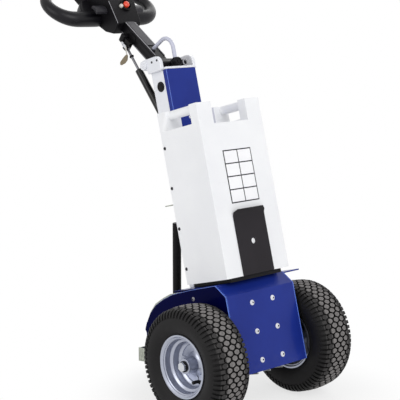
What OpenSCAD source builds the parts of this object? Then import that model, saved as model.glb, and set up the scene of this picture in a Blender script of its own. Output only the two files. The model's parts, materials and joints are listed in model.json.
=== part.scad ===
// Electric tow tractor: two drive wheels, leaning column with a lift-out battery case, sprung tiller
// Front plate faces -Y, the operator stands at +Y, the floor is z = 0

/* [Drive wheels] */
// outer diameter of a drive tyre
tyre_d = 330; // [250:1:420]
// width of a drive tyre
tyre_w = 127; // [80:1:160]
// diameter over the rim flanges
rim_d = 178; // [130:1:220]
// gap between a drive tyre and its cheek plate
wheel_gap = 9; // [6:0.5:40]
// how far the hub stands out past the wheel plane
hub_out = 36; // [20:1:45]
// height of the tread lugs
lug_h = 4.5; // [2:0.1:7]
// diameter of the stub axles
axle_d = 25; // [16:0.5:35]

/* [Chassis] */
// lean of chassis, column and case towards the operator, in degrees
lean = 15.3; // [5:0.1:25]
// width over the two cheek plates
chassis_w = 270; // [220:1:340]
// thickness of the cheek plates
cheek_t = 4; // [3:0.5:8]
// thickness of the front plate and deck
shell_t = 6; // [4:0.5:10]
// front face of the coupling plate, ahead of the axle
plate_fwd = 88.5; // [70:0.5:110]
// top edge of the coupling plate above the axle
plate_top = 165; // [140:1:190]
// bottom edge of the coupling plate below the axle
plate_low = 58; // [30:1:80]
// pitch of the coupling holes, both ways
coupling_pitch = 81; // [60:1:100]
// diameter of the coupling holes
coupling_hole_d = 8.5; // [6:0.1:14]
// height of the deck above the axle
deck_z = 200; // [185:1:230]

/* [Battery case] */
// width of the case
case_w = 244; // [180:1:260]
// front face of the case, ahead of the axle
case_fwd = 94.5; // [80:0.5:120]
// back face of the case, behind the axle
case_back = 76; // [60:0.5:100]
// underside of the case above the axle
case_low = 212; // [205:1:240]
// height of the lid of the case above the axle
case_lid = 646; // [560:1:700]
// height of the handles of the case above the axle
case_top = 708; // [640:1:760]
// thickness of the handle walls
grip_wall = 56; // [40:1:70]
// diameter of the lifting bars
lift_d = 26; // [20:0.5:30]
// rounding of the upright corners
case_r = 4; // [2:0.5:12]

/* [Column] */
// width of the column
col_w = 114; // [90:1:140]
// back face of the column, behind the axle
col_back = 146; // [125:1:170]
// top of the column above the axle
col_top = 844; // [780:1:900]
// sheet of the column cover
cover_t = 3; // [2:0.5:5]

/* [Tiller] */
// tiller hinge behind the axle
hinge_y = 155; // [140:1:190]
// tiller hinge above the axle
hinge_z = 864; // [800:1:930]
// rise of the tiller above level, in degrees
tiller_rise = 34; // [10:1:60]
// tiller tube, both ways
tube_w = 35; // [28:1:45]
// start of the head along the tiller
head_start = 190; // [150:1:240]
// half of the width over the grips
grip_reach = 210; // [180:1:240]
// thickness of the grips
grip_d = 34; // [28:0.5:40]
// front bar of the grips along the tiller
grip_front = 278; // [260:1:300]
// rear bar of the grips along the tiller
grip_back = 412; // [390:1:450]
// middle of the grips below the line of the tiller
grip_drop = 30; // [20:1:40]

/* [Gas spring] */
// sideways place of the gas spring
gas_x = -26; // [-34:1:-24]
// lower pin behind the axle
gas_low_y = 160; // [158:0.5:175]
// lower pin above the axle
gas_low_z = 706; // [680:1:740]
// upper pin along the tiller
gas_top_v = 138; // [120:1:142]
// upper pin below the line of the tiller
gas_top_w = 36; // [32:1:44]
// diameter of the gas cylinder
gas_d = 23; // [18:0.5:26]
// diameter of the gas rod
rod_d = 8; // [6:0.5:12]

/* [Rear wheel] */
// diameter of the rear wheel
caster_d = 125; // [100:1:160]
// width of the rear wheel
caster_w = 38; // [30:1:50]
// stem behind the drive axle
stem_back = 314; // [300:1:340]
// wheel behind the stem
trail = 76; // [40:1:80]
// diameter of the stem
stem_d = 26; // [20:0.5:35]
// top of the stem above the floor
stem_top = 487; // [420:1:560]

/* [Hidden] */
$fn = 96;
run = 0.05;
// drive wheels
axle_h = tyre_d / 2;
half_in = chassis_w / 2 - cheek_t;
track = chassis_w + tyre_w + 2 * wheel_gap;
rim_r = rim_d / 2;
seat_r = rim_r - 11;
rim_half = tyre_w / 2 - 9.5;
flange_t = 4;
hub_in = tyre_w / 2 - 5.5;
hub_r = 24;
collar_d = 42;
collar_gap = 2.5;
// tread: lugs round one row, how far a lug's top draws in, drop of the crown and of the shoulder
lugs_round = 32;
lug_in = 2;
shoulder_w = 18;
shoulder_in = 3.5;
crown_drop = 4;
shoulder_drop = 14.5;
// chassis
hole_down = 30.5;
chamfer_y = -53;
shell_end = 130;
tab_over = 28;
tab_t = 4;
tab_reach = 68;
tab_leg = 40;
tab_end = 40;
cover_in = [3, 4];
// drive unit
gear_half = 52;
gear_lo = [-70, -66];
gear_hi = [62, 60];
motor_d = 108;
motor_half = 95;
motor_y = 70;
motor_z = 115;
motor_foot = 40;
tube_d = 56;
// battery
tray_in = 22;
case_wall = 20;
case_floor = 8;
lid_t = 10;
battery_room = 36;
sill = 7;
lift_in = 21;
grip_from = -64;
grip_to = 40;
latch_half = 60;
latch_h = 184;
latch_t = 3;
latch_lip = 12;
latch_cut = 14;
latch_hole_d = 11;
// column
cover_front = case_back;
cover_deep = 16;
col_wall = 4;
cap_t = 7;
plug_d = 30;
shelf_z = 445;
shelf_reach = 44;
// hinge and cable
hinge_t = 12;
hinge_d = 16;
hinge_eye = 32;
hinge_front = 71;
hinge_back = 8;
hinge_low = 28;
hinge_high = 16;
hinge_r = 22;
cap_d = 27;
cap_out = 8;
cross_d = 24;
cross_fwd = 33;
gland_y = cover_front + 17;
gland_d = 26;
gland_neck_d = 18;
gland_long = 27;
gland_top = col_top + gland_d + 2;
conduit_d = 12;
bend_r = 34;
bend_y = gland_y + bend_r;
bend_z = gland_top + 30;
bend_over = 20;
// tiller
pitch = lean + tiller_rise;
hinge_fwd = hinge_y * cos(lean) + hinge_z * sin(lean);
hub_d = 36;
hub_half = 38;
head_half = 50;
head_top = 50;
head_slope = 72;
head_tail = 8;
head_face = 16;
button_v = 246;
button_x = 8;
button_d = 24;
button_deep = 8;
lever_w = 16;
lever_long = 28;
lever_reach = 36;
key_wide = 22;
key_long = 32;
grip_turn = (grip_back - grip_front) / 2;
head_reach = hinge_fwd + grip_back * cos(tiller_rise) + grip_drop * sin(tiller_rise) + grip_d / 2;
axle_y = (tyre_d / 2 - head_reach) / 2;
// gas spring
gas_top_y = hinge_y + gas_top_v * cos(pitch) + gas_top_w * sin(pitch);
gas_top_z = hinge_z + gas_top_v * sin(pitch) - gas_top_w * cos(pitch);
gas_angle = atan2(gas_top_z - gas_low_z, gas_top_y - gas_low_y);
gas_len = sqrt(pow(gas_top_z - gas_low_z, 2) + pow(gas_top_y - gas_low_y, 2));
gas_from = 14;
gas_to = 176;
gas_pin = 8;
gas_eye_d = 18;
gas_neck_d = 8;
bore_from = 60;
rod_from = 110;
rod_eye_d = 24;
rod_hole_d = 15;
ear_gap = 10;
ear_t = 3;
ear_pin = 6;
// rear wheel
caster_h = caster_d / 2;
crown_low = caster_d + 9;
crown_t = 6;
stem_low = crown_low + 18;
spigot_d = 14;
fork_in = 27;
fork_t = 4;
fork_front = 20;
fork_mid = 60;
fork_back = 68;
fork_low = 30;
cup_d = 44;
pin_d = 12;
clamp_low = stem_low + 10;
clamp_h = 44;
clamp_fwd = 16;
clamp_t = 8;
clamp_wall = 8;
clamp_y = stem_back - clamp_fwd;

// name, side of the machine along X
SIDES = [["left", 1], ["right", -1]];
// where the stem clamp meets the cheeks, behind the axle and above it
function in_chassis(y, z) = [y * cos(lean) - (z - axle_h) * sin(lean), y * sin(lean) + (z - axle_h) * cos(lean)];
rear = in_chassis(clamp_y, clamp_low + 24);
// cheek outline behind the axle and above it, from the chamfer round the back to the floor side
CHEEK_BACK = [[54, deck_z - 3], [136, deck_z - 9], [180, deck_z - 19], rear + [-60, 67], rear + [-30, 46],
  rear + [-1, 13], rear + [7, 0], rear + [3, -12], rear + [-3, -21], [200, 20], [110, -40], [60, -plate_low]];
// rear cover line, outside face
COVER_LINE = [[150, deck_z - 7], [182, deck_z - 15], rear + [-58, 72], rear + [-28, 49], rear + [-7, 25]];

front_shell();
cheek_left();
cheek_right();
side_tab();
rear_cover();
stem_clamp();
stem();
gearbox();
motor();
axle_tubes();
stub_axles();
battery_tray();
battery_case();
battery_block();
latch_plate();
column();
column_cover();
column_plugs();
cable_shelf();
hinge_blocks();
hinge_shaft();
cross_tube();
cable_gland();
conduit();
tiller_tube();
gas_ears();
key_switch();
tiller_head();
grips();
thumb_levers();
stop_button();
gas_cylinder();
gas_rod();
gas_bracket();
drive_rim_left();
drive_rim_right();
drive_tyre_left();
drive_tyre_right();
caster_fork();
caster_axle();
caster_wheel();

// Frames: the leaning chassis about the drive axle, the tiller about its hinge, the stem on the floor
module on_chassis() {
  translate([0, axle_y, axle_h]) rotate([-lean, 0, 0]) children();
}
module on_tiller() {
  on_chassis() translate([0, hinge_y, hinge_z]) rotate([pitch, 0, 0]) children();
}
module on_gas() {
  on_chassis() translate([gas_x, gas_low_y, gas_low_z]) rotate([gas_angle, 0, 0]) children();
}
module on_stem() {
  translate([0, axle_y + stem_back, 0]) children();
}
// a round bar along X
module bar_x(d, x0, x1, y, z) {
  translate([min(x0, x1), y, z]) rotate([0, 90, 0]) cylinder(d = d, h = abs(x1 - x0));
}
// a round bar along Y
module bar_y(d, y0, y1, x, z) {
  translate([x, y0, z]) rotate([-90, 0, 0]) cylinder(d = d, h = y1 - y0);
}
// a box from two corners
module span(lo, hi) {
  translate(lo) cube([hi[0] - lo[0], hi[1] - lo[1], hi[2] - lo[2]]);
}
// a side outline in Y and Z, drawn out along X
module side_form(outline, x0, x1) {
  side_sheet(x0, x1) polygon(outline);
}
module side_sheet(x0, x1) {
  translate([min(x0, x1), 0, 0]) rotate([90, 0, 90]) linear_extrude(abs(x1 - x0)) children();
}

module front_shell() {
  f = -plate_fwd;
  color([0.17, 0.22, 0.55]) on_chassis() difference() {
    side_form([[f, -plate_low], [f, plate_top], [chamfer_y, deck_z], [shell_end, deck_z],
      [shell_end, deck_z - shell_t], [chamfer_y + 2.5, deck_z - shell_t], [f + shell_t, plate_top - 2.5],
      [f + shell_t, -plate_low]], -half_in, half_in);
    for (row = [0, 1, 2], side = SIDES)
      bar_y(coupling_hole_d, f - 1, f + shell_t + 1, side[1] * coupling_pitch / 2,
        plate_top - hole_down - row * coupling_pitch);
  }
}
module cheek_form(side) {
  x0 = side * half_in;
  x1 = side * (half_in + cheek_t);
  color([0.15, 0.19, 0.48]) on_chassis() difference() {
    side_form(concat([[-plate_fwd, -plate_low], [-plate_fwd, plate_top], [chamfer_y, deck_z]], CHEEK_BACK), x0, x1);
    bar_x(axle_d + 0.8, x0 - side, x1 + side, 0, 0);
  }
}
module cheek_left() {
  cheek_form(1);
}
module cheek_right() {
  cheek_form(-1);
}
// an angle on the cheek that reaches over the tyre
module side_tab() {
  x = half_in + cheek_t;
  z = tyre_d / 2 + tab_over;
  color([0.15, 0.19, 0.48]) on_chassis() {
    span([x, chamfer_y, z], [x + tab_reach, tab_end, z + tab_t]);
    span([x, chamfer_y + 15, z - tab_leg], [x + tab_t, tab_end, z + tab_t]);
  }
}
module rear_cover() {
  inner = [for (i = [len(COVER_LINE) - 1 : -1 : 0]) COVER_LINE[i] - cover_in];
  color([0.55, 0.56, 0.55]) on_chassis() side_form(concat(COVER_LINE, inner), -half_in, half_in);
}
module stem_clamp() {
  color([0.17, 0.22, 0.55]) on_stem() difference() {
    union() {
      translate([0, 0, clamp_low]) cylinder(d = stem_d + 2 * clamp_wall, h = clamp_h);
      span([-half_in, -clamp_fwd - clamp_t / 2, clamp_low + 4],
        [half_in, -clamp_fwd + clamp_t / 2, clamp_low + clamp_h]);
    }
    translate([0, 0, clamp_low - 1]) cylinder(d = stem_d, h = clamp_h + 2);
  }
}
module stem() {
  color([0.12, 0.12, 0.13]) on_stem() {
    translate([0, 0, stem_low]) cylinder(d = stem_d, h = stem_top - stem_low);
    translate([0, 0, stem_low - 14]) cylinder(d = spigot_d, h = 20);
  }
}
module gearbox() {
  color([0.68, 0.69, 0.7]) on_chassis()
    span([-gear_half, gear_lo[0], gear_lo[1]], [gear_half, gear_hi[0], gear_hi[1]]);
}
module motor() {
  color([0.14, 0.14, 0.15]) on_chassis() {
    bar_x(motor_d, -motor_half, motor_half, motor_y, motor_z);
    span([-motor_foot, gear_hi[0] - 32, gear_hi[1]], [motor_foot, gear_hi[0], motor_z - motor_d / 2 + 19]);
  }
}
module axle_tubes() {
  color([0.2, 0.2, 0.21]) on_chassis() for (side = SIDES)
    bar_x(tube_d, side[1] * gear_half, side[1] * half_in, 0, 0);
}
module stub_axles() {
  color([0.6, 0.61, 0.63]) on_chassis() for (side = SIDES) {
    bar_x(axle_d, side[1] * half_in, side[1] * (track / 2 + hub_out - 2), 0, 0);
    bar_x(collar_d, side[1] * (half_in + cheek_t), side[1] * (track / 2 - hub_in - collar_gap), 0, 0);
  }
}
module battery_tray() {
  w = case_w / 2 - tray_in;
  color([0.1, 0.1, 0.11]) on_chassis() span([-w, -case_fwd + tray_in / 2, deck_z], [w, case_back, case_low]);
}
// the case's plan with rounded corners
module case_plan(w, f, b) {
  translate([-w + case_r, -f]) square([2 * (w - case_r), f + b]);
  translate([-w, -f + case_r]) square([2 * w, f + b - 2 * case_r]);
  for (x = [-w + case_r, w - case_r], y = [-f + case_r, b - case_r]) translate([x, y]) circle(r = case_r);
}
module battery_case() {
  w = case_w / 2;
  f = -case_fwd;
  b = case_back;
  color([0.94, 0.94, 0.95]) on_chassis() {
    difference() {
      translate([0, 0, case_low]) linear_extrude(case_top - case_low) case_plan(w, case_fwd, case_back);
      span([-w + case_wall, f + case_wall, case_low + case_floor], [w - case_wall, b - 12, case_lid - lid_t]);
      span([-w + grip_wall, f - 1, case_lid], [w - grip_wall, b + 1, case_top + 1]);
      span([-w - 1, grip_from, case_lid + sill], [w + 1, grip_to, case_top + 1]);
    }
    for (side = SIDES)
      bar_y(lift_d, grip_from - 5, grip_to + 5, side[1] * (w - lift_in), case_top - lift_d / 2);
  }
}
module battery_block() {
  w = case_w / 2 - case_wall;
  color([0.2, 0.2, 0.22]) on_chassis() span([-w, -case_fwd + case_wall, case_low + case_floor],
    [w, case_back - 12, case_lid - lid_t - battery_room]);
}
module latch_plate() {
  f = -case_fwd;
  t = latch_t;
  top = case_low + latch_h;
  color([0.12, 0.12, 0.13]) on_chassis() difference() {
    intersection() {
      side_form([[f, case_low], [f, top - latch_lip], [f - 10, top], [f - 12.5, top - 1.6],
        [f - t, top - latch_lip - 1.2], [f - t, case_low]], -latch_half, latch_half);
      translate([0, f + 1, 0]) rotate([90, 0, 0]) linear_extrude(20) polygon([[-latch_half, case_low],
        [-latch_half, top - latch_cut], [-latch_half + latch_cut, top], [latch_half - latch_cut, top],
        [latch_half, top - latch_cut], [latch_half, case_low]]);
    }
    bar_y(latch_hole_d, f - 20, f + 10, 0, case_low + latch_h / 2);
  }
}
module column() {
  w = col_w / 2;
  y0 = cover_front + cover_deep;
  t = col_wall;
  color([0.93, 0.93, 0.94]) on_chassis() {
    difference() {
      span([-w, y0, deck_z], [w, col_back, col_top]);
      span([-w + t, y0 + t, deck_z + 8], [w - t, col_back - t, col_top - cap_t]);
    }
    span([-w, cover_front, col_top - cap_t], [w, y0 + 1, col_top]);
  }
}
module column_cover() {
  w = col_w / 2;
  y1 = cover_front + cover_deep;
  top = col_top - cap_t;
  color([0.24, 0.29, 0.6]) on_chassis() difference() {
    span([-w, cover_front, deck_z], [w, y1, top]);
    span([-w + cover_t, cover_front + cover_t, deck_z - 1], [w - cover_t, y1 + 1, top - cover_t]);
  }
}
module column_plugs() {
  color([0.1, 0.1, 0.1]) on_chassis() for (side = SIDES)
    bar_x(plug_d, side[1] * col_w / 2, side[1] * (col_w / 2 + 4), cover_front + 36, col_top - 53);
}
module cable_shelf() {
  color([0.6, 0.61, 0.62]) on_chassis()
    span([-col_w / 2, col_back, shelf_z], [col_w / 2, col_back + shelf_reach, shelf_z + 3]);
}
module hinge_plan() {
  f = hinge_y - hinge_front;
  low = hinge_z - hinge_low;
  high = hinge_z + hinge_high;
  translate([f + hinge_r, low]) square([hinge_front - hinge_back - hinge_r, high - low]);
  translate([f, low]) square([hinge_r, high - low - hinge_r]);
  translate([f + hinge_r, high - hinge_r]) circle(r = hinge_r);
  translate([hinge_y - hinge_back - 1, hinge_z - hinge_eye / 2 + 2]) square([hinge_back + 1, hinge_eye - 4]);
  translate([hinge_y, hinge_z]) circle(d = hinge_eye);
}
module hinge_blocks() {
  color([0.93, 0.93, 0.94]) on_chassis() difference() {
    for (side = SIDES) side_sheet(side[1] * col_w / 2, side[1] * (col_w / 2 + hinge_t)) hinge_plan();
    bar_x(hinge_d, -col_w, col_w, hinge_y, hinge_z);
  }
}
module hinge_shaft() {
  in_x = col_w / 2 + hinge_t;
  color([0.9, 0.9, 0.91]) on_chassis() {
    bar_x(hinge_d, -in_x - cap_out, in_x + cap_out, hinge_y, hinge_z);
    for (side = SIDES) bar_x(cap_d, side[1] * in_x, side[1] * (in_x + cap_out), hinge_y, hinge_z);
  }
}
module cross_tube() {
  color([0.1, 0.1, 0.11]) on_chassis() bar_x(cross_d, -col_w / 2, col_w / 2, hinge_y - cross_fwd, hinge_z - 6);
}
module cable_gland() {
  color([0.1, 0.1, 0.11]) on_chassis() {
    translate([0, gland_y, col_top]) cylinder(d = gland_neck_d, h = gland_top - col_top);
    bar_y(gland_d, gland_y - gland_long + conduit_d, gland_y + conduit_d, 0, col_top + gland_d / 2 + 1.5);
  }
}
// the conduit's line in the chassis side plane: place, then direction in degrees
function bend_at(a) = [bend_y - bend_r * sin(a), bend_z + bend_r * cos(a)];
CONDUIT = concat([[[gland_y, gland_top], 90]], [for (a = [90 : -10 : -bend_over]) [bend_at(a), a]]);
module conduit() {
  n = 12;
  c = conduit_d / 2;
  rows = len(CONDUIT);
  rings = [for (p = CONDUIT) [for (k = [0 : n - 1])
    let (a = k * 360 / n) [c * cos(a), p[0][0] - c * sin(a) * sin(p[1]), p[0][1] + c * sin(a) * cos(p[1])]]];
  seat = [for (q = rings[rows - 1])
    q + [0, cos(bend_over), -sin(bend_over)] * seat_run(q)];
  all_rings = concat(rings, [seat]);
  pts = [for (r = all_rings) for (q = r) q];
  sides = [for (i = [0 : rows - 1], k = [0 : n - 1])
    [i * n + k, (i + 1) * n + k, (i + 1) * n + (k + 1) % n, i * n + (k + 1) % n]];
  color([0.62, 0.63, 0.68]) on_chassis()
    polyhedron(pts, concat(sides, [[for (k = [0 : n - 1]) k]], [[for (k = [n - 1 : -1 : 0]) rows * n + k]]));
}
// how far a point of the conduit runs on to the tiller's upper face
function seat_run(q) = (tube_w / 2 + 0.3 + (q[1] - hinge_y) * sin(pitch) - (q[2] - hinge_z) * cos(pitch))
  / (-cos(bend_over) * sin(pitch) - sin(bend_over) * cos(pitch));
module tiller_tube() {
  h = tube_w / 2;
  color([0.13, 0.13, 0.14]) on_tiller() difference() {
    union() {
      bar_x(hub_d, -hub_half, hub_half, 0, 0);
      span([-h, 0, -h], [h, head_start, h]);
    }
    bar_x(hinge_d + 2 * run, -60, 60, 0, 0);
  }
}
module gas_ears() {
  h = tube_w / 2;
  v = gas_top_v;
  color([0.12, 0.12, 0.13]) on_tiller() {
    span([-h - 2, v - 14, -h], [-h, v + 14, 8]);
    for (x = [gas_x - ear_gap / 2 - ear_t, gas_x + ear_gap / 2])
      side_form([[v - 8, -gas_top_w - 8], [v - 12, -h + 6], [v + 12, -h + 6], [v + 8, -gas_top_w - 8]],
        x, x + ear_t);
    span([gas_x - ear_gap / 2 - ear_t, v - 12, -h + 3], [-h, v + 12, -h + 6]);
    bar_x(ear_pin, gas_x - ear_gap / 2 - ear_t, gas_x + ear_gap / 2 + ear_t, v, -gas_top_w);
  }
}
module key_switch() {
  h = tube_w / 2;
  color([0.1, 0.1, 0.11]) on_tiller()
    span([-h - key_wide, head_start - key_long - 1, -34], [-h, head_start - 1, -6]);
}
// the middle of a frame that stands on the head's sloping front
module on_button() {
  slope = (head_top - head_face) / head_slope;
  on_tiller() translate([button_x, button_v, head_face + (button_v - head_start) * slope])
    rotate([atan(slope), 0, 0]) children();
}
module tiller_head() {
  h = tube_w / 2;
  end = grip_back + head_tail;
  color([0.12, 0.12, 0.13]) difference() {
    on_tiller() side_form([[head_start, -h - 8], [head_start, head_face], [head_start + head_slope, head_top],
      [head_start + head_slope + 60, head_top], [end - 20, 0], [end, -grip_drop + 12], [end, -grip_drop - 10],
      [grip_front + 20, -grip_drop - 20], [head_start + 36, -grip_drop - 14]], -head_half, head_half);
    on_button() translate([0, 0, -button_deep]) cylinder(d = button_d + 6, h = 30);
  }
}
module grip_loop(side) {
  turn_x = grip_reach - grip_d / 2 - grip_turn;
  for (v = [grip_front, grip_back]) bar_x(grip_d, side * head_half, side * turn_x, v, 0);
  translate([side * turn_x, grip_front + grip_turn, 0]) rotate([0, 0, side > 0 ? -90 : 90])
    rotate_extrude(angle = 180) translate([grip_turn, 0]) circle(d = grip_d);
}
module grips() {
  color([0.13, 0.13, 0.14]) on_tiller() translate([0, 0, -grip_drop]) for (side = SIDES) grip_loop(side[1]);
}
module thumb_levers() {
  color([0.45, 0.45, 0.47]) on_tiller() for (side = SIDES)
    side_form([[button_v, lever_w - 8], [button_v, lever_w + 2], [button_v + lever_long / 2, lever_w + 8],
      [button_v + lever_long, lever_w + 4], [button_v + lever_long, lever_w - 6]],
      side[1] * head_half, side[1] * (head_half + lever_reach));
}
module stop_button() {
  color([0.8, 0.2, 0.1]) on_button() translate([0, 0, -button_deep]) cylinder(d = button_d, h = button_deep + 5);
}
module gas_cylinder() {
  color([0.1, 0.1, 0.11]) on_gas() difference() {
    union() {
      bar_x(gas_eye_d, -4, 4, 0, 0);
      bar_y(gas_d, gas_from, gas_to, 0, 0);
      bar_y(gas_neck_d, 6, gas_from + 4, 0, 0);
    }
    bar_x(gas_pin + 2 * run, -20, 20, 0, 0);
    bar_y(rod_d + 2 * run, bore_from, gas_to + 20, 0, 0);
  }
}
module gas_rod() {
  color([0.75, 0.76, 0.78]) on_gas() difference() {
    union() {
      bar_y(rod_d, rod_from, gas_len - rod_hole_d / 2 - 0.5, 0, 0);
      bar_x(rod_eye_d, -3, 3, gas_len, 0);
    }
    bar_x(rod_hole_d, -20, 20, gas_len, 0);
  }
}
module gas_bracket() {
  color([0.93, 0.93, 0.94]) on_chassis() {
    for (x = [gas_x - 6 - ear_t, gas_x + 6])
      side_form([[col_back, gas_low_z - 14], [col_back, gas_low_z + 14], [gas_low_y + 10, gas_low_z + 8],
        [gas_low_y + 10, gas_low_z - 8]], x, x + ear_t);
    bar_x(gas_pin, gas_x - 6 - ear_t, gas_x + 6 + ear_t, gas_low_y, gas_low_z);
  }
}
// a revolved section about the wheel axis: pairs of place along X and radius
module turned_x(section) {
  rotate([0, 90, 0]) rotate_extrude() polygon([for (p = section) [p[1], p[0]]]);
}
module drive_rim(side) {
  out = rim_half;
  in = rim_half - flange_t;
  color([0.66, 0.68, 0.72]) translate([side * track / 2, axle_y, axle_h]) scale([side, 1, 1]) {
    turned_x([[-out, rim_r], [-out, rim_r - 14], [out, rim_r - 14], [out, rim_r], [in, rim_r], [in, seat_r],
      [-in, seat_r], [-in, rim_r]]);
    turned_x([[-4, rim_r - 13], [-4, 30], [-hub_in, 30], [-hub_in, axle_d / 2 + run], [hub_out, axle_d / 2 + run],
      [hub_out, hub_r], [6, hub_r], [0, 34], [0, rim_r - 13]]);
  }
}
module drive_rim_left() {
  drive_rim(1);
}
module drive_rim_right() {
  drive_rim(-1);
}
// Drive tyre: stations round its section, pairs of place along X and radius; lugs stand on the first five stretches
crown_half = tyre_w / 2 - shoulder_in - shoulder_w;
crown_r = tyre_d / 2 - lug_h;
HALF_SECTION = [[crown_half / 3, crown_r], [crown_half, crown_r - crown_drop],
  [crown_half + shoulder_w, crown_r - shoulder_drop], [tyre_w / 2, rim_r + 31], [rim_half - flange_t, rim_r + 1],
  [rim_half - flange_t, seat_r + 0.4]];
SECTION = concat([for (i = [2, 1, 0]) [-HALF_SECTION[i][0], HALF_SECTION[i][1]]], HALF_SECTION,
  [for (i = [5, 4, 3]) [-HALF_SECTION[i][0], HALF_SECTION[i][1]]]);
cells = 2 * lugs_round;
lug_turn = lug_in * 360 / (PI * tyre_d);
function on_tyre(x, r, a) = [x, r * cos(a), r * sin(a)];
function cell_at(k) = -90 - lug_turn + k * 360 / cells;
// a lug's top corner: stretch and cell, then 0 or 1 for its near or far end both ways
function lug_top(i, k, u, t) = let (p = SECTION[i], q = SECTION[i + 1], in = lug_in / (q[0] - p[0]),
    s = u ? 1 - in : in, turn = t ? -lug_turn : lug_turn)
  on_tyre(p[0] + s * (q[0] - p[0]), p[1] + s * (q[1] - p[1]) + lug_h, cell_at(k + t) + turn);
module drive_tyre(side) {
  n = len(SECTION);
  lugs = [for (i = [0 : 4], k = [0 : cells - 1]) if ((i + k) % 2 == 0) [i, k]];
  base = [for (k = [0 : cells - 1], p = SECTION) on_tyre(p[0], p[1], cell_at(k))];
  tops = [for (g = lugs) for (c = [[0, 0], [1, 0], [1, 1], [0, 1]]) lug_top(g[0], g[1], c[0], c[1])];
  plain = [for (i = [0 : n - 1], k = [0 : cells - 1]) if (i > 4 || (i + k) % 2 == 1) cell_corners(i, k, n)];
  caps = [for (m = [0 : len(lugs) - 1]) [for (c = [0 : 3]) n * cells + 4 * m + c]];
  walls = [for (m = [0 : len(lugs) - 1], c = [0 : 3]) let (b = cell_corners(lugs[m][0], lugs[m][1], n), t = caps[m])
    [b[c], b[(c + 1) % 4], t[(c + 1) % 4], t[c]]];
  faces = [for (q = concat(plain, caps, walls)) for (f = [[q[0], q[2], q[1]], [q[0], q[3], q[2]]]) f];
  color([0.1, 0.1, 0.11]) translate([side * track / 2, axle_y, axle_h]) polyhedron(concat(base, tops), faces);
}
// the four base points of a cell: stretch, cell, points in the section
function cell_corners(i, k, n) = let (j = (i + 1) % n, l = (k + 1) % cells)
  [k * n + i, k * n + j, l * n + j, l * n + i];
module drive_tyre_left() {
  drive_tyre(1);
}
module drive_tyre_right() {
  drive_tyre(-1);
}
module caster_fork() {
  crown = crown_low + crown_t;
  back = trail + fork_back;
  color([0.66, 0.67, 0.66]) on_stem() difference() {
    union() {
      span([-fork_in - fork_t, -fork_front - 2, crown_low], [fork_in + fork_t, fork_mid, crown]);
      translate([0, 0, crown_low]) cylinder(d = cup_d, h = stem_low - crown_low - 0.5);
      for (side = SIDES)
        side_form([[-fork_front, crown], [fork_mid, crown], [trail + 22, caster_h + 12], [back, caster_h + 10],
          [back, fork_low], [trail - 20, caster_h - 22]], side[1] * fork_in, side[1] * (fork_in + fork_t));
      span([-fork_in - fork_t, back, fork_low], [fork_in + fork_t, back + 4, caster_h + 10]);
    }
    bar_x(pin_d, -60, 60, trail, caster_h);
    translate([0, 0, crown_low - 14]) cylinder(d = spigot_d + 2 * run, h = 60);
  }
}
module caster_axle() {
  color([0.7, 0.71, 0.72]) on_stem() bar_x(pin_d, -fork_in - fork_t - 5, fork_in + fork_t + 5, trail, caster_h);
}
module caster_wheel() {
  w = caster_w / 2;
  r = caster_h;
  color([0.2, 0.26, 0.55]) on_stem() translate([0, trail, r]) turned_x([
    [-w - 4, pin_d / 2 + run], [-w - 4, 16], [-w, 20], [-w, r - 8], [-w + 6, r], [w - 6, r], [w, r - 8], [w, 20],
    [w + 4, 16], [w + 4, pin_d / 2 + run]]);
}
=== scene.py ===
import bmesh
import bpy
import json
import math
from mathutils import Matrix, Vector


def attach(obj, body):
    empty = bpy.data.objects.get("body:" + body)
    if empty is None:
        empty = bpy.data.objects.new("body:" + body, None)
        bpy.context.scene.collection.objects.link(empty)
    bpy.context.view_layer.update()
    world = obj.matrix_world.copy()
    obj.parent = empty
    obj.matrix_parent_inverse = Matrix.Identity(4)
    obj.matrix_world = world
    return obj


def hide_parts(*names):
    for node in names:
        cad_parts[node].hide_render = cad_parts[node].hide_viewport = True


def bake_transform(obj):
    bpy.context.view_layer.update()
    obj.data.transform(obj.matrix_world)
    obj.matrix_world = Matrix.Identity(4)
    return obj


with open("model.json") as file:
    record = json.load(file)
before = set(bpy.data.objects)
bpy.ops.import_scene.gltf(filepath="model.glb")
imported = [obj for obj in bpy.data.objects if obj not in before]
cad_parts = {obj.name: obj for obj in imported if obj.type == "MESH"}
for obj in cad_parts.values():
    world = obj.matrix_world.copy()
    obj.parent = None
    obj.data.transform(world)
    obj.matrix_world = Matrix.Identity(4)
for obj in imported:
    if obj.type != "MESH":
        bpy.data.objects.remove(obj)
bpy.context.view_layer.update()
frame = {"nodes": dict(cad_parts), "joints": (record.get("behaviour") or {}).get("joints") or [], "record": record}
nodes = frame["nodes"]
joints = {joint["name"]: joint for joint in frame["joints"]}
mounts = {mount["name"]: mount for mount in frame["record"]["mounts"]}

# Places on the machine: pieces are drawn in millimetres in one of these frames
axle = Vector((0, *joints["wheel_left_spin"]["pos_m"][1:]))
halfTrack = joints["wheel_left_spin"]["pos_m"][0] * 1000
lean = math.asin(mounts["coupling_face"]["axis"][2])
millimetre = Matrix.Scale(0.001, 4)
onChassis = Matrix.Translation(axle) @ Matrix.Rotation(-lean, 4, "X") @ millimetre
tillerRise = math.radians(34)
onTiller = Matrix.Translation(joints["tiller_tilt"]["pos_m"]) @ Matrix.Rotation(tillerRise, 4, "X") @ millimetre
onRearHub = Matrix.Translation(joints["caster_spin"]["pos_m"]) @ millimetre
gasTurn = Vector(joints["gas_slide"]["axis"]).normalized().to_track_quat("Z", "Y").to_matrix().to_4x4()
onGas = Matrix.Translation(joints["gas_pivot"]["pos_m"]) @ gasTurn @ millimetre
upright = Matrix.Rotation(math.radians(-90), 4, "Y")  # turns what is drawn along X to point up


def localBox(node, place):  # a node's lowest and highest corners in one of those frames
    back = place.inverted()
    spots = [back @ v.co for v in nodes[node].data.vertices]
    return [Vector([pick(s[i] for s in spots) for i in range(3)]) for pick in (min, max)]


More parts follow.
